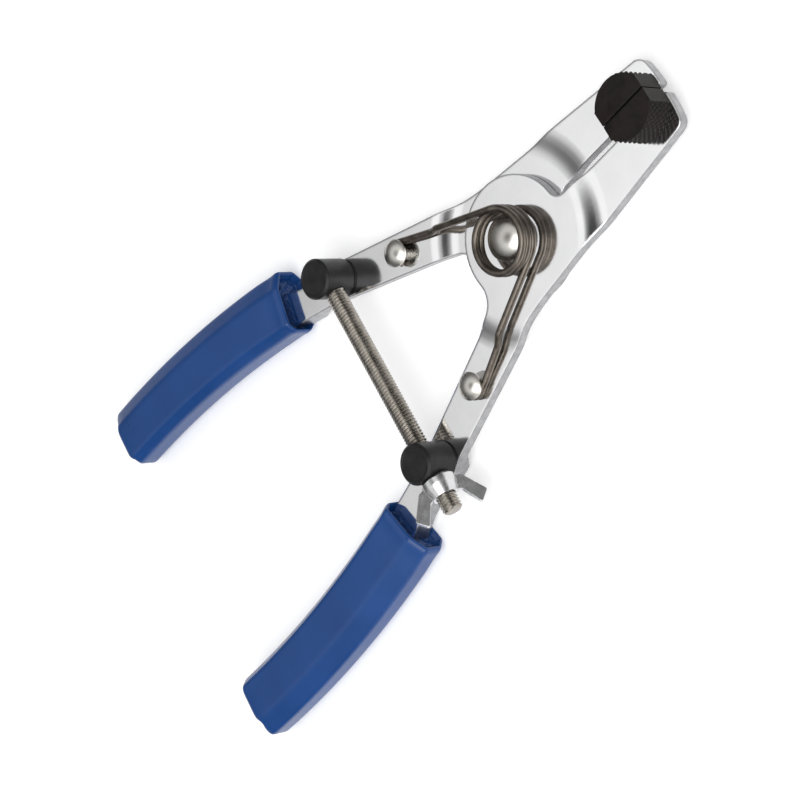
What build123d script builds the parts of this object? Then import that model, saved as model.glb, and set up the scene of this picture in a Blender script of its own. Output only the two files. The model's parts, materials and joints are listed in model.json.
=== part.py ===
from build123d import *
from math import acos, asin, atan2, cos, degrees, pi, radians, sin, sqrt
import os

# Internal-gripping spreader pliers for hollow pistons. Millimetres.
# Origin on the pivot axis, in the plane where the two levers lie on each other.
# +Y runs to the jaws, +X to lever B, +Z to the spring side. Lever A is the -X one.

# Pressed lever plates
SHEET = 3.0
PIVOT_GAP = 0.2
BOSS_R = 17.4
JOGGLE_IN_R = 24.5
JOGGLE_OUT_R = 29.7
BEND_R = 13.0
JAW_TIP_R = 61.8
JAW_INNER_X = 1.25
JAW_OUTER_X = 17.0
JAW_TAPER = 0.128
ARM_OUTER_X = 17.3
ARM_OUTER_SLOPE = 0.3375
ARM_INNER_X = 2.76
ARM_INNER_SLOPE = 0.382
FLANGE = 1.5
CHANNEL_BOTTOM = -4.8

# Grip centre line: an arc that ends parallel to the long axis
GRIP_X = 40.43
GRIP_Y = -82.0
GRIP_R = 385.0
GRIP_ANGLE = 13.28
GRIP_END_Y = -173.7
CHANNEL_HALF = 7.0
CHANNEL_END_Y = -166.0
GRIP_HALF = 10.1
GRIP_TOP = 6.1
GRIP_BOTTOM = -6.5
GRIP_WALL = 1.9
FLARE = 18.0

# Pivot rivet and torsion spring
PIVOT_R = 4.0
PIVOT_HEAD_R = 6.3
PIVOT_HEAD_TOP = 8.8
PIVOT_HEAD_RIM = 6.2
WIRE_R = 1.05
COIL_R = 8.75
COIL_Z = 5.1
COIL_PITCH = 2.2
COIL_X = 0.6
COIL_Y = -0.3
STUD_X = 23.2
STUD_Y = -36.4
STUD_R = 1.95
STUD_HEAD_R = 4.03
HOOK_Z = 2.7
HOOK_WRAP = 2.7
LEG_STEP = (24.0, 28.0)
LEG_LOW_Z = 3.3

# Jaw pads
PAD_Y = 53.4
PAD_R = 9.0
PAD_FLAT = 7.7
PAD_TOP = 10.2
PAD_GAP = 0.2
SCREW_X = 5.4
SCREW_Y = 50.4
DOWEL_Y = 56.8

# Trunnions, adjusting rod and wing nut
TRUNNION_X = 32.45
TRUNNION_Y = -60.5
TRUNNION_R = 6.0
TRUNNION_TOP = 12.9
PIN_R = 2.6
ROD_R = 3.0
ROD_Z = 7.2
ROD_START_X = -36.2
ROD_END_X = 48.5
NUT_X = 37.95
NUT_H = 5.7
WING_TILT = -48.0

PLATE_TOP = SHEET / 2
PLATE_BOTTOM = -SHEET / 2


def save(builder, name):
    builder.part.label = name
    export_step(builder.part, f"parts/{name}.step")


def outer_x(y):
    return ARM_OUTER_X - ARM_OUTER_SLOPE * y


def inner_x(y):
    return ARM_INNER_X - ARM_INNER_SLOPE * y


def grip_point(y, offset):
    """Point at a signed distance outward from the grip's centre line."""
    turn = radians(GRIP_ANGLE)
    end_y = GRIP_Y - GRIP_R * sin(turn)
    angle = asin((y - end_y) / GRIP_R) if y > end_y else 0.0
    x = GRIP_X + GRIP_R * (cos(angle) - cos(turn))
    return (x + offset * cos(angle), y + offset * sin(angle))


def jaw_outer_x(y):
    return JAW_OUTER_X - JAW_TAPER * (y - 15)


def lever_outline(side):
    """Plan of one lever: jaw, arm, neck and the strip inside the grip."""
    tip_y = 60.8
    join_y = (JAW_OUTER_X + 15 * JAW_TAPER - ARM_OUTER_X) / (JAW_TAPER - ARM_OUTER_SLOPE)
    tip = [(JAW_INNER_X, JAW_TIP_R), (6.5, 61.46), (jaw_outer_x(tip_y), tip_y)]
    outer = [(outer_x(join_y), join_y), (outer_x(-60), -60), (39.6, -75)]
    outer += [grip_point(y, CHANNEL_HALF) for y in (-98, -112, -128, -146, CHANNEL_END_Y)]
    inner = [grip_point(y, -CHANNEL_HALF) for y in (CHANNEL_END_Y, -146, -128, -112, -98)]
    inner += [(inner_x(-66), -66), (ARM_INNER_X + 3, -8), (JAW_INNER_X, 8)]
    return [(side * x, y) for x, y in tip + outer + inner]


def joggled_sheet(side):
    """Half profile of the pressed sheet: raised boss, ramp, then flat."""
    low = PIVOT_GAP / 2 if side > 0 else -PIVOT_GAP / 2 - SHEET
    high = low + SHEET
    return [
        (0, low), (JOGGLE_IN_R, low), (JOGGLE_OUT_R, PLATE_BOTTOM), (200, PLATE_BOTTOM),
        (200, PLATE_TOP), (JOGGLE_OUT_R, PLATE_TOP), (JOGGLE_IN_R, high), (0, high),
    ]


def near(shape_list, x, y, reach):
    return [v for v in shape_list if sqrt((v.X - x) ** 2 + (v.Y - y) ** 2) < reach]


def lever_plate(side, name, pivot_bore):
    with BuildSketch() as plan:
        with BuildLine():
            Polyline(*lever_outline(side), close=True)
        make_face()
        fillet(near(plan.vertices(), side * 19.9, -7.8, 3), 60)
        fillet(near(plan.vertices(), side * jaw_outer_x(60.8), 60.8, 2), 3.2)
        fillet(near(plan.vertices(), side * JAW_INNER_X, JAW_TIP_R, 1), 0.8)
        fillet(near(plan.vertices(), side * outer_x(-60), -60, 2), 20)
        fillet(near(plan.vertices(), side * 39.6, -75, 2), 30)
        fillet(near(plan.vertices(), side * inner_x(-66), -66, 2), 40)
        Circle(BOSS_R)
        fillet(near(plan.vertices(), side * 8.8, -15.5, 3.5), 7)
        fillet(near(plan.vertices(), side * JAW_INNER_X, 17.4, 2), 4)
    with BuildSketch(Plane.XY.offset(CHANNEL_BOTTOM)) as wall:
        add(plan.sketch)
        offset(plan.sketch, amount=-FLANGE, mode=Mode.SUBTRACT)
    with BuildSketch(Plane.YZ) as outer_side:
        with BuildLine():
            Polyline(
                (-53.5, PLATE_BOTTOM + 0.5), (-53.5, PLATE_BOTTOM), (-57.5, CHANNEL_BOTTOM),
                (-170, CHANNEL_BOTTOM), (-170, PLATE_BOTTOM + 0.5), close=True,
            )
        make_face()
    with BuildSketch(Plane.YZ.offset(side * 20)) as inner_side:
        with BuildLine():
            Polyline(
                (-50, PLATE_BOTTOM), (-72, PLATE_BOTTOM), (-79, CHANNEL_BOTTOM - 1),
                (-50, CHANNEL_BOTTOM - 1), close=True,
            )
        make_face()
    with BuildPart() as flanges:
        extrude(wall.sketch, amount=PLATE_BOTTOM - CHANNEL_BOTTOM)
        extrude(outer_side.sketch, amount=side * 80, mode=Mode.INTERSECT)
        extrude(inner_side.sketch, amount=side * 13.4, mode=Mode.SUBTRACT)
    with BuildPart() as lever:
        with BuildSketch(Plane.XZ) as profile:
            with BuildLine():
                Polyline(*joggled_sheet(side), close=True)
            make_face()
            ramp = [v for v in profile.vertices() if 20 < v.X < 35]
            fillet(ramp, BEND_R)
        revolve(axis=Axis.Z)
        extrude(plan.sketch, amount=10, both=True, mode=Mode.INTERSECT)
        add(flanges.part)
        with Locations((0, 0, 0)):
            Cylinder(pivot_bore, 20, mode=Mode.SUBTRACT)
        with Locations((side * TRUNNION_X, TRUNNION_Y, 0)):
            Cylinder(PIN_R + 0.05, 20, mode=Mode.SUBTRACT)
        with Locations((side * STUD_X, STUD_Y, 0)):
            Cylinder(STUD_R + 0.02, 20, mode=Mode.SUBTRACT)
        with Locations((side * SCREW_X, SCREW_Y, 0)):
            Cylinder(2.1, 20, mode=Mode.SUBTRACT)
        with Locations((side * SCREW_X, DOWEL_Y, 0)):
            Cylinder(1.52, 20, mode=Mode.SUBTRACT)
    save(lever, name)
    return lever


def dome(radius, rim_z, apex_z):
    """Spherical cap in the XZ plane, from its apex on the axis to its rim."""
    rise = abs(apex_z - rim_z)
    ball = (radius ** 2 + rise ** 2) / (2 * rise)
    half = asin(radius / ball) / 2
    middle_z = apex_z + (cos(half) - 1) * ball * (1 if apex_z > rim_z else -1)
    ThreePointArc((0, apex_z), (ball * sin(half), middle_z), (radius, rim_z))


def pivot_rivet():
    with BuildPart() as rivet:
        with BuildSketch(Plane.XZ) as profile:
            with BuildLine():
                Line((0, -6.0), (0, PIVOT_HEAD_TOP))
                dome(PIVOT_HEAD_R, PIVOT_HEAD_RIM, PIVOT_HEAD_TOP)
                Line((PIVOT_HEAD_R, PIVOT_HEAD_RIM), (PIVOT_HEAD_R - 0.25, 3.1))
                Line((PIVOT_HEAD_R - 0.25, 3.1), (PIVOT_R, 3.1))
                Line((PIVOT_R, 3.1), (PIVOT_R, -4.15))
                Line((PIVOT_R, -4.15), (6.2, -4.15))
                dome(6.2, -4.15, -6.0)
            make_face()
        revolve(axis=Axis.Z)
    save(rivet, "pivot_rivet")


def ring(name, x, y, top, thickness, outer_r, bore_r, slot=0.0):
    """Flat ring; a slot toward -Y makes it an open retaining clip."""
    with BuildPart() as flat_ring:
        with BuildSketch(Plane.XY.offset(top - thickness)):
            with Locations((x, y)):
                Circle(outer_r)
                Circle(bore_r, mode=Mode.SUBTRACT)
            if slot > 0:
                with Locations((x, y - outer_r)):
                    Rectangle(slot, 2 * outer_r, mode=Mode.SUBTRACT)
        extrude(amount=thickness)
    save(flat_ring, name)


def spring_stud(side, name):
    with BuildPart() as stud:
        with BuildSketch(Plane.XZ) as profile:
            with BuildLine():
                Line((0, -2.5), (0, 6.3))
                dome(STUD_HEAD_R, 4.6, 6.3)
                Line((STUD_HEAD_R, 4.6), (STUD_HEAD_R - 0.15, 3.8))
                Line((STUD_HEAD_R - 0.15, 3.8), (STUD_R, 3.8))
                Line((STUD_R, 3.8), (STUD_R, PLATE_BOTTOM))
                Line((STUD_R, PLATE_BOTTOM), (3.0, PLATE_BOTTOM))
                Line((3.0, PLATE_BOTTOM), (2.2, -2.5))
                Line((2.2, -2.5), (0, -2.5))
            make_face()
        revolve(axis=Axis.Z)
    stud.part.locate(Location((side * STUD_X, STUD_Y, 0)))
    save(stud, name)


def spring_leg(side, lean, start, kink_z):
    """Leg edges from the coil to the far end of its hook round a stud."""
    hook_r = STUD_R + WIRE_R + 0.05
    stud_x, towards = side * STUD_X, lean if side > 0 else pi - lean
    touch = (stud_x + hook_r * cos(towards), STUD_Y + hook_r * sin(towards), HOOK_Z)
    run_x, run_y = touch[0] - start[0], touch[1] - start[1]
    run = sqrt(run_x ** 2 + run_y ** 2)
    step_in, step_out = (s / run for s in LEG_STEP)
    kink = (start[0] + run_x * step_in, start[1] + run_y * step_in, kink_z)
    low = (start[0] + run_x * step_out, start[1] + run_y * step_out, LEG_LOW_Z)
    level = (touch[0] - run_x * 4 / run, touch[1] - run_y * 4 / run, HOOK_Z)
    half = towards - side * HOOK_WRAP / 2
    full = towards - side * HOOK_WRAP
    middle = (stud_x + hook_r * cos(half), STUD_Y + hook_r * sin(half), HOOK_Z)
    end = (stud_x + hook_r * cos(full), STUD_Y + hook_r * sin(full), HOOK_Z)
    return [
        Edge.make_line(start, kink),
        Edge.make_line(kink, low),
        Edge.make_line(low, level),
        Edge.make_line(level, touch),
        Edge.make_three_point_arc(touch, middle, end),
    ]


def torsion_spring():
    """Close-wound coil round the rivet head with two legs hooked on the studs."""
    hook_r = STUD_R + WIRE_R + 0.05
    span_x, span_y = STUD_X - COIL_X, STUD_Y - COIL_Y
    reach = sqrt(span_x ** 2 + span_y ** 2)
    lean = atan2(span_y, span_x) + acos((COIL_R - hook_r) / reach)
    height = (2 + (pi - 2 * lean) / (2 * pi)) * COIL_PITCH
    coil = Helix(COIL_PITCH, height, COIL_R).rotate(Axis.Z, degrees(lean))
    coil = coil.moved(Location((COIL_X, COIL_Y, COIL_Z)))
    legs = spring_leg(1, lean, tuple(coil @ 0), COIL_Z)
    legs += spring_leg(-1, lean, tuple(coil @ 1), 6.2)
    wire_path = Wire([coil.edges()[0]] + legs)
    with BuildPart() as spring:
        with BuildSketch(Plane(wire_path @ 0, z_dir=wire_path % 0)):
            Circle(WIRE_R)
        sweep(path=wire_path, transition=Transition.TRANSFORMED)
    save(spring, "torsion_spring")


def jaw_pad(side, name):
    with BuildPart() as pad:
        with BuildSketch(Plane.XY.offset(PLATE_TOP)) as shape:
            with Locations((0, PAD_Y)):
                Circle(PAD_R)
                Rectangle(4 * PAD_R, 2 * PAD_FLAT, mode=Mode.INTERSECT)
            with Locations((side * (PAD_GAP + PAD_R), PAD_Y)):
                Rectangle(2 * PAD_R, 4 * PAD_R, mode=Mode.INTERSECT)
        extrude(shape.sketch, amount=PAD_TOP - PLATE_TOP)
        rim = pad.edges().group_by(Axis.Z)[-1].filter_by(GeomType.CIRCLE)
        chamfer(rim, 0.35)
        with Locations((side * SCREW_X, SCREW_Y, PLATE_TOP)):
            Cylinder(2.02, 11, mode=Mode.SUBTRACT)
        with Locations((side * SCREW_X, DOWEL_Y, PLATE_TOP)):
            Cylinder(1.52, 9, mode=Mode.SUBTRACT)
    save(pad, name)


def jaw_screw(side, name):
    with BuildPart() as screw:
        with BuildSketch(Plane.XZ) as profile:
            with BuildLine():
                Polyline(
                    (0, -4.3), (2.2, -4.3), (3.5, -3.6), (3.5, PLATE_BOTTOM),
                    (2.0, PLATE_BOTTOM), (2.0, 6.3), (1.5, 6.8), (0, 6.8), close=True,
                )
            make_face()
        revolve(axis=Axis.Z)
        with BuildSketch(Plane.XY.offset(-4.3)):
            RegularPolygon(1.25, 6)
        extrude(amount=1.8, mode=Mode.SUBTRACT)
    screw.part.locate(Location((side * SCREW_X, SCREW_Y, 0)))
    save(screw, name)


def jaw_dowel(side, name):
    with BuildPart() as dowel:
        with BuildSketch(Plane.XY.offset(PLATE_BOTTOM + 0.1)):
            with Locations((side * SCREW_X, DOWEL_Y)):
                Circle(1.5)
        extrude(amount=7.2)
        chamfer(dowel.edges().filter_by(GeomType.CIRCLE), 0.25)
    save(dowel, name)


def trunnion(side, name):
    """Cross-drilled black pin that turns in the lever and carries the rod."""
    with BuildPart() as pin:
        with BuildSketch(Plane.XZ) as profile:
            with BuildLine():
                Polyline(
                    (0, -3.4), (PIN_R - 0.3, -3.4), (PIN_R, -3.1), (PIN_R, -2.72),
                    (2.1, -2.72), (2.1, -2.12), (PIN_R, -2.12), (PIN_R, 1.6),
                    (TRUNNION_R - 0.5, 1.6), (TRUNNION_R, 2.1), (TRUNNION_R, TRUNNION_TOP - 0.7),
                    (TRUNNION_R - 0.7, TRUNNION_TOP), (TRUNNION_R - 1.2, TRUNNION_TOP),
                    (TRUNNION_R - 1.3, TRUNNION_TOP - 0.12), (0, TRUNNION_TOP - 0.12), close=True,
                )
            make_face()
        revolve(axis=Axis.Z)
        if side > 0:
            with BuildSketch(Plane.YZ.offset(-10)):
                with Locations((0, ROD_Z)):
                    Circle(ROD_R + 0.25)
            extrude(amount=20, mode=Mode.SUBTRACT)
            with BuildSketch(Plane.YZ.offset(5.4)):
                with Locations((0, ROD_Z)):
                    Circle(5.6)
            extrude(amount=4, mode=Mode.SUBTRACT)
        else:
            with BuildSketch(Plane.YZ.offset(ROD_START_X + TRUNNION_X - 0.1)):
                with Locations((0, ROD_Z)):
                    Circle(ROD_R + 0.02)
            extrude(amount=20, mode=Mode.SUBTRACT)
    pin.part.locate(Location((side * TRUNNION_X, TRUNNION_Y, 0)))
    save(pin, name)


def threaded_rod():
    with BuildPart() as rod:
        with BuildSketch(Plane.YZ.offset(ROD_START_X)):
            with Locations((TRUNNION_Y, ROD_Z)):
                Circle(ROD_R)
        extrude(amount=ROD_END_X - ROD_START_X)
        chamfer(rod.edges().filter_by(GeomType.CIRCLE), 0.6)
    save(rod, "threaded_rod")


def wing_nut():
    tilt = radians(WING_TILT)
    wings = Plane(
        origin=(NUT_X, TRUNNION_Y, ROD_Z),
        x_dir=(1, 0, 0),
        z_dir=(0, -sin(tilt), cos(tilt)),
    )
    with BuildPart() as nut:
        with BuildSketch(wings) as profile:
            with BuildLine():
                Polyline((0, 0), (0, 4.6), (0.6, 5.0), (2.2, 4.9), (NUT_H, 3.9), (NUT_H, 0), close=True)
            make_face()
        revolve(axis=Axis(wings.origin, (1, 0, 0)))
        with BuildSketch(wings.offset(-0.85)) as blades:
            for sign in (1, -1):
                with BuildLine():
                    Polyline(
                        (0.7, sign * 3.4), (2.2, sign * 6.8), (9.1, sign * 11.2), (12.0, sign * 8.2),
                        (6.0, sign * 5.0), (5.2, sign * 3.4), close=True,
                    )
                make_face()
            fillet([v for v in blades.vertices() if abs((v - wings.origin).X) > 8], 0.6)
        extrude(amount=1.7)
        with BuildSketch(Plane.YZ.offset(NUT_X - 1)):
            with Locations((TRUNNION_Y, ROD_Z)):
                Circle(ROD_R + 0.05)
        extrude(amount=20, mode=Mode.SUBTRACT)
    save(nut, "wing_nut")


def grip_frame(y):
    """Section plane across the grip of lever B: x outward, y up."""
    x, _ = grip_point(y, 0)
    out_x, out_y = grip_point(y, 1)
    across = (out_x - x, out_y - y, 0)
    return Plane(origin=(x, y, 0), x_dir=across, z_dir=(across[1], -across[0], 0))


def socket(place, corners):
    with BuildSketch(place) as hollow:
        with BuildLine():
            Polyline(*corners, close=True)
        make_face()
    return hollow.sketch


def grip_section(place, inner_top, outer_top):
    with BuildSketch(place) as section:
        with BuildLine():
            Polyline(
                (-GRIP_HALF, GRIP_TOP - 2.6), (-GRIP_HALF + 2.6, GRIP_TOP),
                (inner_top, GRIP_TOP), (GRIP_HALF, outer_top), (GRIP_HALF, GRIP_BOTTOM + 3.2),
                (GRIP_HALF - 3.2, GRIP_BOTTOM), (-GRIP_HALF + 3.2, GRIP_BOTTOM),
                (-GRIP_HALF, GRIP_BOTTOM + 3.2), close=True,
            )
        make_face()
        fillet(section.vertices(), 1.4)
    return section.sketch


def grip(side, name):
    turn = radians(GRIP_ANGLE)
    arc_end = GRIP_Y - GRIP_R * sin(turn)
    start = grip_frame(GRIP_Y)
    with BuildPart() as sleeve:
        with BuildLine() as path:
            middle = grip_point((GRIP_Y + arc_end) / 2, 0)
            ThreePointArc((GRIP_X, GRIP_Y), middle, grip_point(arc_end, 0))
            Line(grip_point(arc_end, 0), grip_point(GRIP_END_Y, 0))
        section = grip_section(start, 3.6, 2.4)
        sweep(section, path=path.line)
        fillet(sleeve.faces().sort_by(Axis.Y)[0].edges(), 2.6)
        wide, snug = GRIP_HALF - GRIP_WALL, CHANNEL_HALF + 0.15
        low, high = CHANNEL_BOTTOM - 0.02, PLATE_TOP + 0.02
        crown = GRIP_TOP - GRIP_WALL
        mouth = [
            (-wide, low), (-wide, crown - 1.6), (-wide + 1.6, crown),
            (2.6, crown), (wide, 1.4), (wide, low),
        ]
        throat = [(-snug, low), (-snug, 0), (-snug, high), (0, high), (snug, high), (snug, low)]
        flare_end = grip_frame(GRIP_Y - FLARE)
        loft([socket(start, mouth), socket(flare_end, throat)], mode=Mode.SUBTRACT)
        with BuildLine() as bore_path:
            middle = grip_point((GRIP_Y - FLARE + CHANNEL_END_Y) / 2, 0)
            ThreePointArc(grip_point(GRIP_Y - FLARE, 0), middle, grip_point(CHANNEL_END_Y - 0.3, 0))
        sweep(socket(flare_end, throat), path=bore_path.line, mode=Mode.SUBTRACT)
    if side < 0:
        mirrored = sleeve.part.mirror(Plane.YZ)
        sleeve.part = mirrored
    save(sleeve, name)


os.makedirs("parts", exist_ok=True)
lever_plate(-1, "lever_plate_a", PIVOT_R + 0.05)
lever_plate(1, "lever_plate_b", PIVOT_R + 0.02)
pivot_rivet()
ring("pivot_washer", 0, 0, -3.15, 0.95, 7.5, PIVOT_R + 0.03)
torsion_spring()
for side, tag in ((-1, "a"), (1, "b")):
    spring_stud(side, f"spring_stud_{tag}")
    jaw_pad(side, f"jaw_pad_{tag}")
    jaw_screw(side, f"jaw_screw_{tag}")
    jaw_dowel(side, f"jaw_dowel_{tag}")
    trunnion(side, f"trunnion_{tag}")
    x = side * TRUNNION_X
    ring(f"trunnion_washer_{tag}", x, TRUNNION_Y, -1.55, 0.5, 3.2, PIN_R + 0.03)
    ring(f"trunnion_clip_{tag}", x, TRUNNION_Y, -2.15, 0.55, 3.2, 2.14, slot=2.6)
    grip(side, f"grip_{tag}")
threaded_rod()
wing_nut()
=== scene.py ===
import json
import math

import bmesh
import bpy
import numpy as np
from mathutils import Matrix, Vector


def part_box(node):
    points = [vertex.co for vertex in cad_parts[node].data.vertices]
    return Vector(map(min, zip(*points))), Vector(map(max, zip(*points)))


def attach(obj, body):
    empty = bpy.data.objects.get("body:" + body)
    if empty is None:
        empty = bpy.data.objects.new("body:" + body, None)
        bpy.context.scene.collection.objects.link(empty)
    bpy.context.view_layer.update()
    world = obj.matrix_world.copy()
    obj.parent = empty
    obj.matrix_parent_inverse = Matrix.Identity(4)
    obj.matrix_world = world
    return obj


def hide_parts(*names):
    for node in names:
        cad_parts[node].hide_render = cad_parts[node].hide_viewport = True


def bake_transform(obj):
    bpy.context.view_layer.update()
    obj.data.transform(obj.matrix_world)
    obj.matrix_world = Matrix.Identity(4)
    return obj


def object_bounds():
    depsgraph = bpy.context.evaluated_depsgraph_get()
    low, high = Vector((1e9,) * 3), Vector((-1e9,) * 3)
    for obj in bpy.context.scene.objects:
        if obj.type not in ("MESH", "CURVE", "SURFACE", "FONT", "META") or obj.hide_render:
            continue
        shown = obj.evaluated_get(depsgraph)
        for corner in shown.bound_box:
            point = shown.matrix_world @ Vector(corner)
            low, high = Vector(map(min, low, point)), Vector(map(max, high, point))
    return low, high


# Internal-gripping spreader pliers, in the CAD's frame: origin on the pivot axis,
# +Y to the jaws, +X to lever B, +Z to the spring side. Named lengths are millimetres.
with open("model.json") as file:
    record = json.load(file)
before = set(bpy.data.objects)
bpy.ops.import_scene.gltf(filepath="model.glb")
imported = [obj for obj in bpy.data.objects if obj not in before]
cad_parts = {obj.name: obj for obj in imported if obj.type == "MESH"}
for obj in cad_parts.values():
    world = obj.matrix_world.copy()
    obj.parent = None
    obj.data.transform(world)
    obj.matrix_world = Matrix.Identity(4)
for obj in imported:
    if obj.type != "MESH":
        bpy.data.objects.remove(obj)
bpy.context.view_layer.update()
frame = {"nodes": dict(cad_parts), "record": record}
MM = 0.001

# Threaded rod
THREAD_PITCH = 1.0
THREAD_DEPTH = 0.6
THREAD_STEPS = 8
ROD_CHAMFER = 0.75

# Knurled jaw pads
KNURL_PITCH = 1.7
KNURL_SLANT = 0.9
KNURL_DEPTH = 0.42
PAD_RIM = 0.4
PAD_RIM_INSET = 0.35
PAD_FLAT_CHAMFER = 0.25
PAD_CREASE = math.radians(38)

# Grip sleeves: centre line as in the CAD, then section, lip and rounded end
GRIP_X = 40.43
GRIP_Y = -82.0
GRIP_R = 385.0
GRIP_TURN = math.radians(13.28)
GRIP_HALF = 10.1
GRIP_WALL = 2.5
GRIP_CORNER = 3.2
# (distance in from the mouth, share of the wall taken off), from the inside out
GRIP_LIP = [
    (1.9, 0.98), (1.4, 0.9), (1.1, 0.76), (0.6, 0.64), (0.2, 0.54), (0.0, 0.4), (0.06, 0.26),
    (0.3, 0.13), (0.8, 0.04), (1.6, 0.0), (2.6, 0.03), (4.0, 0.07), (6.5, 0.05), (10.0, 0.0),
]

# Torsion spring, as in the CAD
WIRE_R = 1.05
COIL_R = 8.75
COIL_X = 0.6
COIL_Y = -0.3
COIL_Z = 5.1
COIL_PITCH = 2.2
COIL_TOP_LEG_Z = 6.2
STUD_X = 23.2
STUD_Y = -36.4
HOOK_R = 3.05
HOOK_Z = 2.7
HOOK_WRAP = 2.7
LEG_STEP = (24, 28)
LEG_LOW_Z = 3.3
LEG_LEVEL = 4
LEG_BEND_R = 3.0


# ---------------------------------------------------------------- material nodes
def material(name, color, metallic=0.0, rough=0.4, **sockets):
    mat = bpy.data.materials.new(name)
    mat.use_nodes = True
    tree = mat.node_tree
    bsdf = tree.nodes["Principled BSDF"]
    bsdf.inputs["Base Color"].default_value = (*color, 1)
    bsdf.inputs["Metallic"].default_value = metallic
    bsdf.inputs["Roughness"].default_value = rough
    for key, value in sockets.items():
        bsdf.inputs[key.replace("_", " ")].default_value = value
    return mat, tree, bsdf


def object_coords(tree, scale=(1, 1, 1)):
    coord = tree.nodes.new("ShaderNodeTexCoord")
    mapping = tree.nodes.new("ShaderNodeMapping")
    mapping.inputs["Scale"].default_value = scale
    tree.links.new(coord.outputs["Object"], mapping.inputs["Vector"])
    return mapping.outputs["Vector"]


def noise(tree, vector, scale, detail=4.0, roughness=0.55):
    node = tree.nodes.new("ShaderNodeTexNoise")
    node.inputs["Scale"].default_value = scale
    node.inputs["Detail"].default_value = detail
    node.inputs["Roughness"].default_value = roughness
    tree.links.new(vector, node.inputs["Vector"])
    return node.outputs["Fac"]


def ramp(tree, value, stops):
    node = tree.nodes.new("ShaderNodeValToRGB")
    elements = node.color_ramp.elements
    while len(elements) < len(stops):
        elements.new(0.5)
    for element, (place, color) in zip(elements, stops):
        element.position = place
        element.color = (*color, 1)
    tree.links.new(value, node.inputs["Fac"])
    return node.outputs["Color"]


def map_range(tree, value, low, high, to_low, to_high):
    node = tree.nodes.new("ShaderNodeMapRange")
    for key, number in zip(("From Min", "From Max", "To Min", "To Max"), (low, high, to_low, to_high)):
        node.inputs[key].default_value = number
    tree.links.new(value, node.inputs["Value"])
    return node.outputs["Result"]


def bump(tree, bsdf, height, strength, distance, edge=0.0):
    """Fine relief, on a normal that is rounded near edges when edge is given."""
    node = tree.nodes.new("ShaderNodeBump")
    node.inputs["Strength"].default_value = strength
    node.inputs["Distance"].default_value = distance
    tree.links.new(height, node.inputs["Height"])
    if edge:
        rounded = tree.nodes.new("ShaderNodeBevel")
        rounded.samples = 6
        rounded.inputs["Radius"].default_value = edge
        tree.links.new(rounded.outputs["Normal"], node.inputs["Normal"])
    tree.links.new(node.outputs["Normal"], bsdf.inputs["Normal"])


def mix(tree, factor, first, second):
    node = tree.nodes.new("ShaderNodeMix")
    node.data_type = "RGBA"
    tree.links.new(factor, node.inputs["Factor"])
    for key, value in (("A", first), ("B", second)):
        socket = [i for i in node.inputs if i.name == key and i.type == "RGBA"][0]
        tree.links.new(value, socket)
    return [o for o in node.outputs if o.type == "RGBA"][0]


def mottle(tree, bsdf, patch, low, high, roughs, color_ends=(0.3, 0.7), rough_ends=(0.3, 0.7)):
    """Colour and roughness that drift together over the surface."""
    color = ramp(tree, patch, [(color_ends[0], low), (color_ends[1], high)])
    tree.links.new(color, bsdf.inputs["Base Color"])
    tree.links.new(map_range(tree, patch, *rough_ends, *roughs), bsdf.inputs["Roughness"])


# ---------------------------------------------------------------- materials
def rough_and_shaded_sides(tree):
    """1 on the side faces of a lever, 0 on its broad faces and ramps: it makes the sides rougher and paints
    shade on them.
    """
    geometry = tree.nodes.new("ShaderNodeNewGeometry")
    parts = tree.nodes.new("ShaderNodeSeparateXYZ")
    tree.links.new(geometry.outputs["True Normal"], parts.inputs["Vector"])
    flat = tree.nodes.new("ShaderNodeMath")
    flat.operation = "ABSOLUTE"
    tree.links.new(parts.outputs["Z"], flat.inputs[0])
    return map_range(tree, flat.outputs[0], 0.25, 0.5, 1.0, 0.0)


def chrome_plate():
    """Plated sheet: polished faces, with rougher sheared edges whose darker grey is painted shade."""
    mat, tree, bsdf = material("chrome_plate", (0.9, 0.9, 0.9), 1.0, 0.1)
    coords = object_coords(tree)
    broad = noise(tree, coords, 110, 5)
    grain = noise(tree, coords, 500, 4)
    brushed = noise(tree, object_coords(tree, (1, 0.08, 1)), 2600, 3)
    face = ramp(tree, broad, [(0.3, (0.86, 0.86, 0.865)), (0.7, (0.93, 0.93, 0.93))])
    # painted shade: the side faces get a darker grey than the polished faces, with a fine grain
    shaded_side_grey = ramp(tree, grain, [(0.3, (0.3, 0.3, 0.31)), (0.7, (0.44, 0.44, 0.45))])
    edge = rough_and_shaded_sides(tree)
    tree.links.new(mix(tree, edge, face, shaded_side_grey), bsdf.inputs["Base Color"])
    rough = tree.nodes.new("ShaderNodeMath")
    rough.operation = "MULTIPLY_ADD"
    tree.links.new(edge, rough.inputs[0])
    rough.inputs[1].default_value = 0.2
    tree.links.new(map_range(tree, broad, 0.3, 0.7, 0.06, 0.13), rough.inputs[2])
    tree.links.new(rough.outputs[0], bsdf.inputs["Roughness"])
    bump(tree, bsdf, brushed, 0.04, 0.0002, 0.0010)
    return mat


def satin_nickel():
    mat, tree, bsdf = material("satin_nickel", (0.5, 0.48, 0.44), 1.0, 0.3)
    coords = object_coords(tree)
    mottle(tree, bsdf, noise(tree, coords, 260, 4), (0.5, 0.48, 0.45), (0.66, 0.64, 0.6), (0.22, 0.36))
    bump(tree, bsdf, noise(tree, coords, 3000, 2), 0.08, 0.0001, 0.0003)
    return mat


def spring_steel():
    mat, tree, bsdf = material("spring_steel", (0.13, 0.11, 0.095), 1.0, 0.33)
    coords = object_coords(tree)
    mottle(tree, bsdf, noise(tree, coords, 320, 4), (0.1, 0.085, 0.072), (0.2, 0.175, 0.15), (0.26, 0.42))
    bump(tree, bsdf, noise(tree, coords, 2500, 2), 0.1, 0.0001)
    return mat


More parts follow.
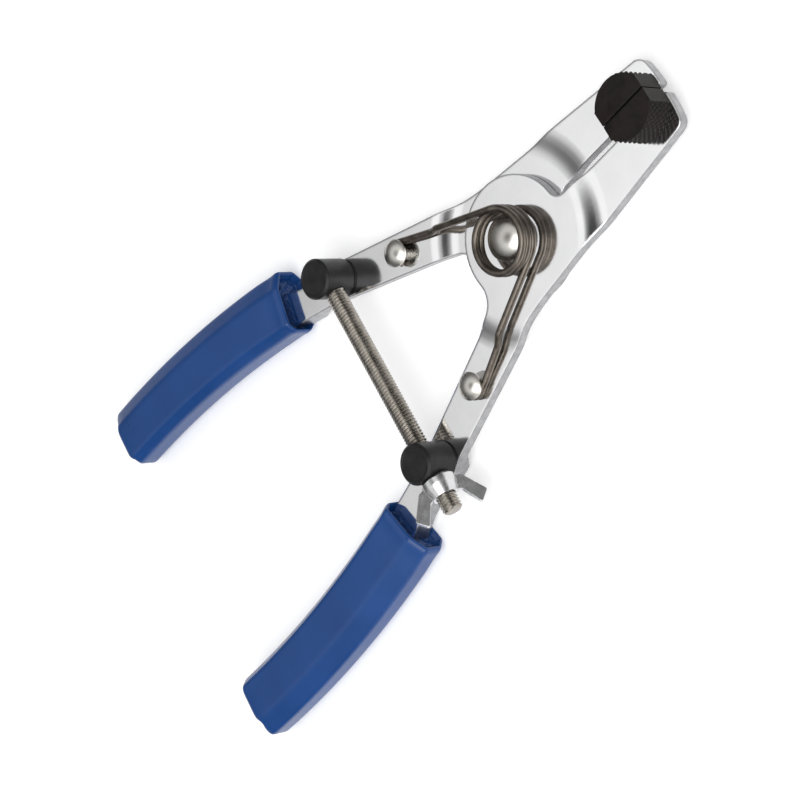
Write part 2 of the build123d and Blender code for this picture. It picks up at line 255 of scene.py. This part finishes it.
def dark_steel(name, low, high, rough, metallic=0.6, gloss=0.5):
    mat, tree, bsdf = material(name, low, metallic, rough, Specular_IOR_Level=gloss)
    coords = object_coords(tree)
    patch = noise(tree, coords, 300, 5)
    mottle(tree, bsdf, patch, low, high, (rough - 0.05, rough + 0.08), color_ends=(0.3, 0.72))
    bump(tree, bsdf, noise(tree, coords, 4500, 3), 0.25, 0.0001, 0.0003)
    return mat


def light_metal(name, low, high, rough, edge=0.0003, grain=0.15):
    mat, tree, bsdf = material(name, low, 1.0, rough)
    coords = object_coords(tree)
    mottle(tree, bsdf, noise(tree, coords, 420, 4), low, high, (rough - 0.06, rough + 0.08))
    bump(tree, bsdf, noise(tree, coords, 1800, 3), grain, 0.0002, edge)
    return mat


def grip_vinyl():
    mat, tree, bsdf = material(
        "grip_vinyl", (0.008, 0.045, 0.17), 0.0, 0.32, Coat_Weight=0.18, Coat_Roughness=0.08,
        Specular_IOR_Level=0.36, IOR=1.5)
    coords = object_coords(tree)
    mottle(
        tree, bsdf, noise(tree, coords, 60, 5, 0.6), (0.003, 0.045, 0.19), (0.008, 0.065, 0.26),
        (0.24, 0.4), color_ends=(0.15, 0.85), rough_ends=(0.1, 0.9))
    bump(tree, bsdf, noise(tree, coords, 420, 2, 0.45), 0.12, 0.0002)
    return mat


MATS = {
    "chrome_plate": chrome_plate(),
    "satin_nickel": satin_nickel(),
    "spring_steel": spring_steel(),
    "pad_steel": dark_steel("pad_steel", (0.006, 0.0055, 0.0054), (0.021, 0.0145, 0.0125), 0.5, 0.2, 0.22),
    "black_oxide": dark_steel("black_oxide", (0.014, 0.014, 0.015), (0.03, 0.03, 0.031), 0.4),
    "pin_steel": light_metal("pin_steel", (0.42, 0.42, 0.42), (0.55, 0.55, 0.55), 0.3),
    "rod_steel": light_metal("rod_steel", (0.27, 0.247, 0.216), (0.44, 0.41, 0.37), 0.24, 0.0, 0.04),
    "zinc_plate": light_metal("zinc_plate", (0.6, 0.6, 0.6), (0.74, 0.74, 0.75), 0.24),
    "grip_vinyl": grip_vinyl(),
}
slot_of = {s["node"]: s["material_slot"] for s in frame["record"]["subparts"]}
for name, node in frame["nodes"].items():
    node.data.materials.clear()
    node.data.materials.append(MATS[slot_of[name]])
    for face in node.data.polygons:
        face.material_index = 0


# ---------------------------------------------------------------- mesh helpers
def add_mesh(name, points, faces, slot, body, node):
    """New smooth-shaded piece that stands for a CAD node; body is None to leave it attached to no body."""
    mesh = bpy.data.meshes.new(name)
    mesh.from_pydata([tuple(p) for p in points], [], faces)
    mesh.validate()
    obj = bpy.data.objects.new(name, mesh)
    bpy.context.collection.objects.link(obj)
    mesh.materials.append(MATS[slot])
    mesh.shade_smooth()
    if body:
        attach(obj, body)
    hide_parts(node)
    return obj


def grid_faces(rows, cols, close=True):
    span = cols if close else cols - 1
    return [
        (r * cols + c, r * cols + (c + 1) % cols, (r + 1) * cols + (c + 1) % cols, (r + 1) * cols + c)
        for r in range(rows - 1) for c in range(span)
    ]


def tube_ends(rows, cols):
    """Faces that close the first and last ring of a tube."""
    return [tuple(range(cols))[::-1], tuple(range((rows - 1) * cols, rows * cols))]


def face_outward(obj, crease=None):
    """Turn all faces outward, and make edges sharper than crease sharp."""
    bm = bmesh.new()
    bm.from_mesh(obj.data)
    bmesh.ops.recalc_face_normals(bm, faces=bm.faces)
    if crease:
        for edge in bm.edges:
            edge.smooth = edge.is_boundary or edge.calc_face_angle(0) < crease
    bm.to_mesh(obj.data)
    bm.free()


# ---------------------------------------------------------------- rod and pads
def screw_rod():
    """Rolled 1 mm thread on the rod, run out to a chamfer at both ends."""
    lo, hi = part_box("threaded_rod")
    centre = (lo + hi) / 2
    radius, pitch, around = (hi.z - lo.z) / 2, THREAD_PITCH * MM, 40
    rows = int((hi.x - lo.x) / (pitch / THREAD_STEPS)) + 1
    xs = np.linspace(lo.x, hi.x, rows)
    turn = np.linspace(0, 2 * math.pi, around, endpoint=False)
    phase = (xs[:, None] / pitch - turn[None, :] / (2 * math.pi)) % 1.0
    ridge = np.clip(1.25 * np.abs(phase - 0.5) * 2 - 0.12, 0, 1)
    r = radius - THREAD_DEPTH * MM * (1 - ridge)
    from_end = np.minimum(hi.x - xs, xs - lo.x)[:, None]
    r = np.minimum(r, radius - ROD_CHAMFER * MM + from_end * 1.1)
    points = np.stack([
        np.broadcast_to(xs[:, None], r.shape),
        centre.y + r * np.cos(turn)[None, :],
        centre.z + r * np.sin(turn)[None, :],
    ], -1).reshape(-1, 3)
    faces = [f[::-1] for f in grid_faces(rows, around) + tube_ends(rows, around)]
    add_mesh("threaded_rod_detail", points, faces, "rod_steel", "rod_body", "threaded_rod")


def knurled_curve(angles, heights, radius, top):
    """Radius of the pad's curved face at each angle and height: crossed grooves, plain rim."""
    along, pitch = angles * radius, KNURL_PITCH * MM
    u, v = (along + heights * KNURL_SLANT) / pitch, (along - heights * KNURL_SLANT) / pitch
    groove = np.minimum(np.abs(u % 1 - 0.5), np.abs(v % 1 - 0.5)) * 2
    cut = KNURL_DEPTH * MM * (1 - np.clip(groove * 1.25, 0, 1))
    rim = np.clip((top - heights) / (PAD_RIM * MM), 0, 1)
    return radius - cut * rim - PAD_RIM_INSET * MM * (1 - rim)


def knurled_pad(side, tag):
    """Half-round pad: diamond knurl on the curve, smooth flats and top."""
    lo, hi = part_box("jaw_pad_" + tag)
    split_x = lo.x if side > 0 else hi.x
    middle_y, half = (lo.y + hi.y) / 2, (hi.y - lo.y) / 2
    radius = hi.x - lo.x + abs(split_x)
    end_angle, chamfer = math.asin(half / radius), PAD_FLAT_CHAMFER * MM
    cols, levels = 161, 97
    angles, heights = np.meshgrid(np.linspace(-end_angle, end_angle, cols), np.linspace(lo.z, hi.z, levels))
    radial = knurled_curve(angles, heights, radius, hi.z)
    curve = np.stack([side * radial * np.cos(angles), middle_y + radial * np.sin(angles), heights], -1)
    points = [tuple(p) for p in curve.reshape(-1, 3)]
    for row in range(levels):
        inset = chamfer if row == levels - 1 else 0.0
        first, last = row * cols, row * cols + cols - 1
        for k, y in ((first, middle_y - half + inset), (last, middle_y + half - inset)):
            points[k] = (points[k][0], y, points[k][2])
    flat_corners = []
    for z, inset in ((lo.z, 0.0), (hi.z - chamfer, 0.0), (hi.z, chamfer)):
        for y in (middle_y - half + inset, middle_y + half - inset):
            flat_corners.append(len(points))
            points.append((split_x + side * inset, y, z))
    b0, b1, m0, m1, t0, t1 = flat_corners
    near = [row * cols for row in range(levels)]
    far = [row * cols + cols - 1 for row in range(levels)]
    faces = grid_faces(levels, cols, close=False)
    bottom_row, top_row = tuple(range(cols)), tuple(range((levels - 1) * cols, levels * cols))
    faces += [top_row + (t1, t0), bottom_row[::-1] + (b0, b1)]
    faces += [(b0, m0, m1, b1), (m0, t0, t1, m1)]
    faces += [tuple(near[:-1]) + (m0, b0), (near[-2], near[-1], t0, m0)]
    faces += [tuple(far[:-1])[::-1] + (b1, m1), (far[-1], far[-2], m1, t1)]
    pad = add_mesh(
        "jaw_pad_knurled_" + tag, points, faces, "pad_steel", "lever_%s_body" % tag, "jaw_pad_" + tag)
    face_outward(pad, PAD_CREASE)


# ---------------------------------------------------------------- grips
def smooth_loop(corners, count, spread):
    """Closed outline through a polygon with its corners softened."""
    samples = 720
    loop = np.array(corners + corners[:1], float)
    run = np.r_[0, np.cumsum(np.hypot(*np.diff(loop, axis=0).T))]
    fine = np.linspace(0, run[-1], samples, endpoint=False)
    points = np.stack([np.interp(fine, run, loop[:, k]) for k in (0, 1)], 1)
    width = max(1, int(spread / (run[-1] / samples)))
    kernel = np.hanning(2 * width + 3)[1:-1]
    kernel /= kernel.sum()
    wrap = np.concatenate([points[-width:], points, points[:width]])
    points = np.stack([np.convolve(wrap[:, k], kernel, "valid") for k in (0, 1)], 1)
    return points[:: samples // count]


def grip_loop(bottom, top):
    """Section of the sleeve, outward and up, and the direction out of it at each point."""
    corners = [
        (-GRIP_HALF, top - 3.0), (-7.6, top), (4.2, top), (GRIP_HALF, top - 3.2),
        (GRIP_HALF, bottom + 3.2), (6.9, bottom), (-6.9, bottom), (-GRIP_HALF, bottom + 3.2),
    ]
    loop = smooth_loop(corners, 120, 1.6)
    tangent = np.roll(loop, -1, 0) - np.roll(loop, 1, 0)
    outward = np.stack([-tangent[:, 1], tangent[:, 0]], 1)
    outward /= np.linalg.norm(outward, axis=1)[:, None]
    outward *= np.sign((outward * (loop - loop.mean(0))).sum(1).mean())
    return loop, outward


def mouth_skin(inner):
    """Wrinkled skin round the lever, with a gap left at the outer top corner."""
    centre = np.array([0.0, 0.2])
    rings = []
    for f in (0.96, 0.85, 0.72, 0.6, 0.5, 0.42, 0.34, 0.27, 0.2, 0.14, 0.08, 0.03):
        p = inner + (centre - inner) * f
        gap = 6.5 * np.exp(-((p[:, 0] - 6.3) / 1.5) ** 2 - ((p[:, 1] - 3.1) / 1.1) ** 2)
        wave = 0.3 * np.sin(1.9 * p[:, 0] + 0.6) * np.sin(1.5 * p[:, 1] + 1.0)
        rings.append((2.6 + 1.0 * f + gap + wave, p))
    return rings


def rounded_end(loop, length):
    """Last rings of the sleeve: a rounded corner with two shallow notches, then the end face."""
    notch = 1.5 * np.exp(-((loop[:, 0] - 5.4) / 1.7) ** 2) * (loop[:, 1] > 0)
    notch += 1.1 * np.exp(-((loop[:, 0] + 8.6) / 1.5) ** 2) * (loop[:, 1] > -2)
    half, middle_z = np.abs(loop).max(0), loop[:, 1].mean()

    def shrunk(points, x_scale, z_scale):
        return np.stack([points[:, 0] * x_scale, middle_z + (points[:, 1] - middle_z) * z_scale], 1)

    rings = []
    for turn_in in np.linspace(0, math.pi / 2, 9)[1:]:
        face = shrunk(loop, *(1 - GRIP_CORNER * (1 - math.cos(turn_in)) / half))
        rings.append((length - GRIP_CORNER * (1 - math.sin(turn_in)) - notch * math.sin(turn_in), face))
    for f in (0.8, 0.55, 0.3, 0.08):
        rings.append((length - notch * f ** 2 - 0.25 * (1 - f), shrunk(face, f, f)))
    return rings


def on_grip_line(distance, section):
    """Points of a section carried to a distance from the mouth, on the grip's centre line."""
    y = GRIP_Y - np.broadcast_to(distance, len(section))
    arc_end = GRIP_Y - GRIP_R * math.sin(GRIP_TURN)
    angle = np.arcsin(np.clip((y - arc_end) / GRIP_R, 0, 1))
    x = GRIP_X + GRIP_R * (np.cos(angle) - math.cos(GRIP_TURN))
    across, up = section.T
    return np.stack([x + across * np.cos(angle), y + across * np.sin(angle), up], 1)


def grip_sleeve(side, tag):
    """Dipped sleeve: soft eight-sided section, rolled lip and a closed, rounded end."""
    lo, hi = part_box("grip_" + tag)
    loop, outward = grip_loop(lo.z / MM, hi.z / MM)
    # thinner on the inner side and underneath, where the lever lies close to the skin
    wall = GRIP_WALL - 0.9 * np.clip(-outward[:, 0], 0, 1) - 1.1 * np.clip(-outward[:, 1], 0, 1)
    length = GRIP_Y - lo.y / MM
    rings = mouth_skin(loop - outward * wall[:, None])
    rings += [(u, loop - outward * (wall * share)[:, None]) for u, share in GRIP_LIP]
    rings += [(u, loop) for u in np.linspace(14, length - GRIP_CORNER, 26)]
    rings += rounded_end(loop, length)
    points = np.concatenate([on_grip_line(u, section) for u, section in rings]) * MM
    points[:, 0] *= side
    rows, cols = len(rings), len(loop)
    faces = grid_faces(rows, cols) + tube_ends(rows, cols)[::-1]
    sleeve = add_mesh(
        "grip_sleeve_" + tag, points, faces, "grip_vinyl", "lever_%s_body" % tag, "grip_" + tag)
    face_outward(sleeve)
    sleeve.data.shade_smooth()


# ---------------------------------------------------------------- torsion spring
def rounded_path(corners, radius, step):
    """Points along straight runs joined by bends of about one radius."""
    path = [corners[0]]
    for before, at, after in zip(corners, corners[1:], corners[2:]):
        back, ahead = before - at, after - at
        back, ahead = back / np.linalg.norm(back), ahead / np.linalg.norm(ahead)
        bend = math.acos(np.clip(-back @ ahead, -1, 1))
        trim = radius * math.tan(bend / 2)
        for t in np.linspace(0, 1, max(3, int(radius * bend / step) + 2)):
            path.append(at + back * trim * (1 - t) ** 2 + ahead * trim * t ** 2)
    return path + [corners[-1]]


def spring_leg(side, lean, start, kink_z):
    """Points from the coil along a leg and round its hook on the stud."""
    towards = lean if side > 0 else math.pi - lean
    hub = np.array([side * STUD_X, STUD_Y, HOOK_Z])
    touch = hub + HOOK_R * np.array([math.cos(towards), math.sin(towards), 0])
    run = (touch - start) * (1, 1, 0)
    run /= np.linalg.norm(run)
    step_in, step_out = LEG_STEP
    stops = [start, start + run * step_in, start + run * step_out, touch - run * LEG_LEVEL, touch]
    for stop, z in zip(stops[1:3], (kink_z, LEG_LOW_Z)):
        stop[2] = z
    wrap = [towards - side * w for w in np.linspace(0.08, HOOK_WRAP, 30)]
    hook = [hub + HOOK_R * np.array([math.cos(w), math.sin(w), 0]) for w in wrap]
    return rounded_path(stops, LEG_BEND_R, 0.4) + hook


def spring_path():
    """Leg and hook of lever B, coil, then leg and hook of lever A, in millimetres."""
    span_x, span_y = STUD_X - COIL_X, STUD_Y - COIL_Y
    lean = math.atan2(span_y, span_x) + math.acos((COIL_R - HOOK_R) / math.hypot(span_x, span_y))
    sweep = 4 * math.pi + math.pi - 2 * lean
    t = np.linspace(0, 1, 260)
    angle = lean + sweep * t
    coil = np.stack([
        COIL_X + COIL_R * np.cos(angle), COIL_Y + COIL_R * np.sin(angle),
        COIL_Z + COIL_PITCH * sweep / (2 * math.pi) * t], 1)
    first, last = spring_leg(1, lean, coil[0], COIL_Z), spring_leg(-1, lean, coil[-1], COIL_TOP_LEG_Z)
    return np.array(first[::-1] + list(coil[1:-1]) + last)


def torsion_spring():
    """Round wire along the path; its legs follow the two levers."""
    path, around = spring_path(), 16
    tangent = np.gradient(path, axis=0)
    tangent /= np.linalg.norm(tangent, axis=1)[:, None]
    across = np.cross(tangent, (0, 0, 1.0))
    across /= np.linalg.norm(across, axis=1)[:, None]
    upward = np.cross(across, tangent)
    turn = np.linspace(0, 2 * math.pi, around, endpoint=False)
    last = len(path) - 1
    stations = [(0, 0.3), (0, 0.75)] + [(i, 1.0) for i in range(1, last)] + [(last, 0.75), (last, 0.3)]
    rings = [
        path[i] + WIRE_R * size * (np.cos(turn)[:, None] * across[i] + np.sin(turn)[:, None] * upward[i])
        for i, size in stations
    ]
    rows = len(rings)
    faces = grid_faces(rows, around) + tube_ends(rows, around)
    points = np.concatenate(rings) * MM
    spring = add_mesh("torsion_spring_wire", points, faces, "spring_steel", None, "torsion_spring")
    spring.data.flip_normals()
    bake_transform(spring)


screw_rod()
torsion_spring()
for side, tag in ((-1, "a"), (1, "b")):
    grip_sleeve(side, tag)
for side, tag in ((-1, "a"), (1, "b")):
    knurled_pad(side, tag)


# ---------------------------------------------------------------- stage and light
def floor_plane():
    bpy.ops.mesh.primitive_plane_add(size=8, location=(0, 0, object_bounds()[0].z - 0.0002))
    floor = bpy.context.object
    floor.name = "floor"
    pale = material(
        "floor", (0.93, 0.93, 0.93), 0.0, 0.7, Emission_Color=(1, 1, 1, 1), Emission_Strength=0.3)[0]
    floor.data.materials.append(pale)


def studio_sky():
    """Grey room, dim near the floor, a bright ring above it and a dark patch overhead."""
    world = bpy.data.worlds.new("studio")
    bpy.context.scene.world = world
    world.use_nodes = True
    tree = world.node_tree
    coord = tree.nodes.new("ShaderNodeTexCoord")
    split = tree.nodes.new("ShaderNodeSeparateXYZ")
    tree.links.new(coord.outputs["Generated"], split.inputs["Vector"])
    # (height of the direction, brightness)
    greys = [
        (0.0, 0.12), (0.2, 0.14), (0.45, 0.17), (0.6, 0.3), (0.68, 0.5), (0.72, 0.66),
        (0.78, 0.9), (0.84, 1.0), (0.92, 1.0), (0.965, 0.35), (0.99, 0.06),
    ]
    sky = ramp(tree, split.outputs["Z"], [(z, (grey, grey, grey * 1.005)) for z, grey in greys])
    tree.links.new(sky, tree.nodes["Background"].inputs["Color"])
    tree.nodes["Background"].inputs["Strength"].default_value = 1.0


def area(name, place, size, power):
    """Soft rectangular light aimed at the middle of the tool."""
    light = bpy.data.lights.new(name, "AREA")
    light.shape = "RECTANGLE"
    light.size, light.size_y = size
    light.energy = power
    obj = bpy.data.objects.new(name, light)
    bpy.context.collection.objects.link(obj)
    obj.location = place
    obj.rotation_euler = (Vector((0, -0.05, 0)) - Vector(place)).to_track_quat("-Z", "Y").to_euler()


def camera():
    """Camera above the jaw end, turned so that the tool lies across the frame."""
    cam = bpy.data.objects.new("camera", bpy.data.cameras.new("camera"))
    bpy.context.collection.objects.link(cam)
    cam.location = (0.21615, 0.27688, 0.41464)
    cam.rotation_euler = [math.radians(angle) for angle in (-4.861, 43.707, 51.683)]
    cam.data.sensor_width = 36.0
    cam.data.lens = 89.63
    cam.data.clip_start = 0.01
    bpy.context.scene.camera = cam
    bpy.context.scene.view_settings.view_transform = "Standard"


floor_plane()
studio_sky()
area("key", (0.5, 0.2, 0.8), (0.9, 0.9), 6)
area("side", (0.85, -0.35, 0.35), (0.5, 0.4), 0.7)
camera()
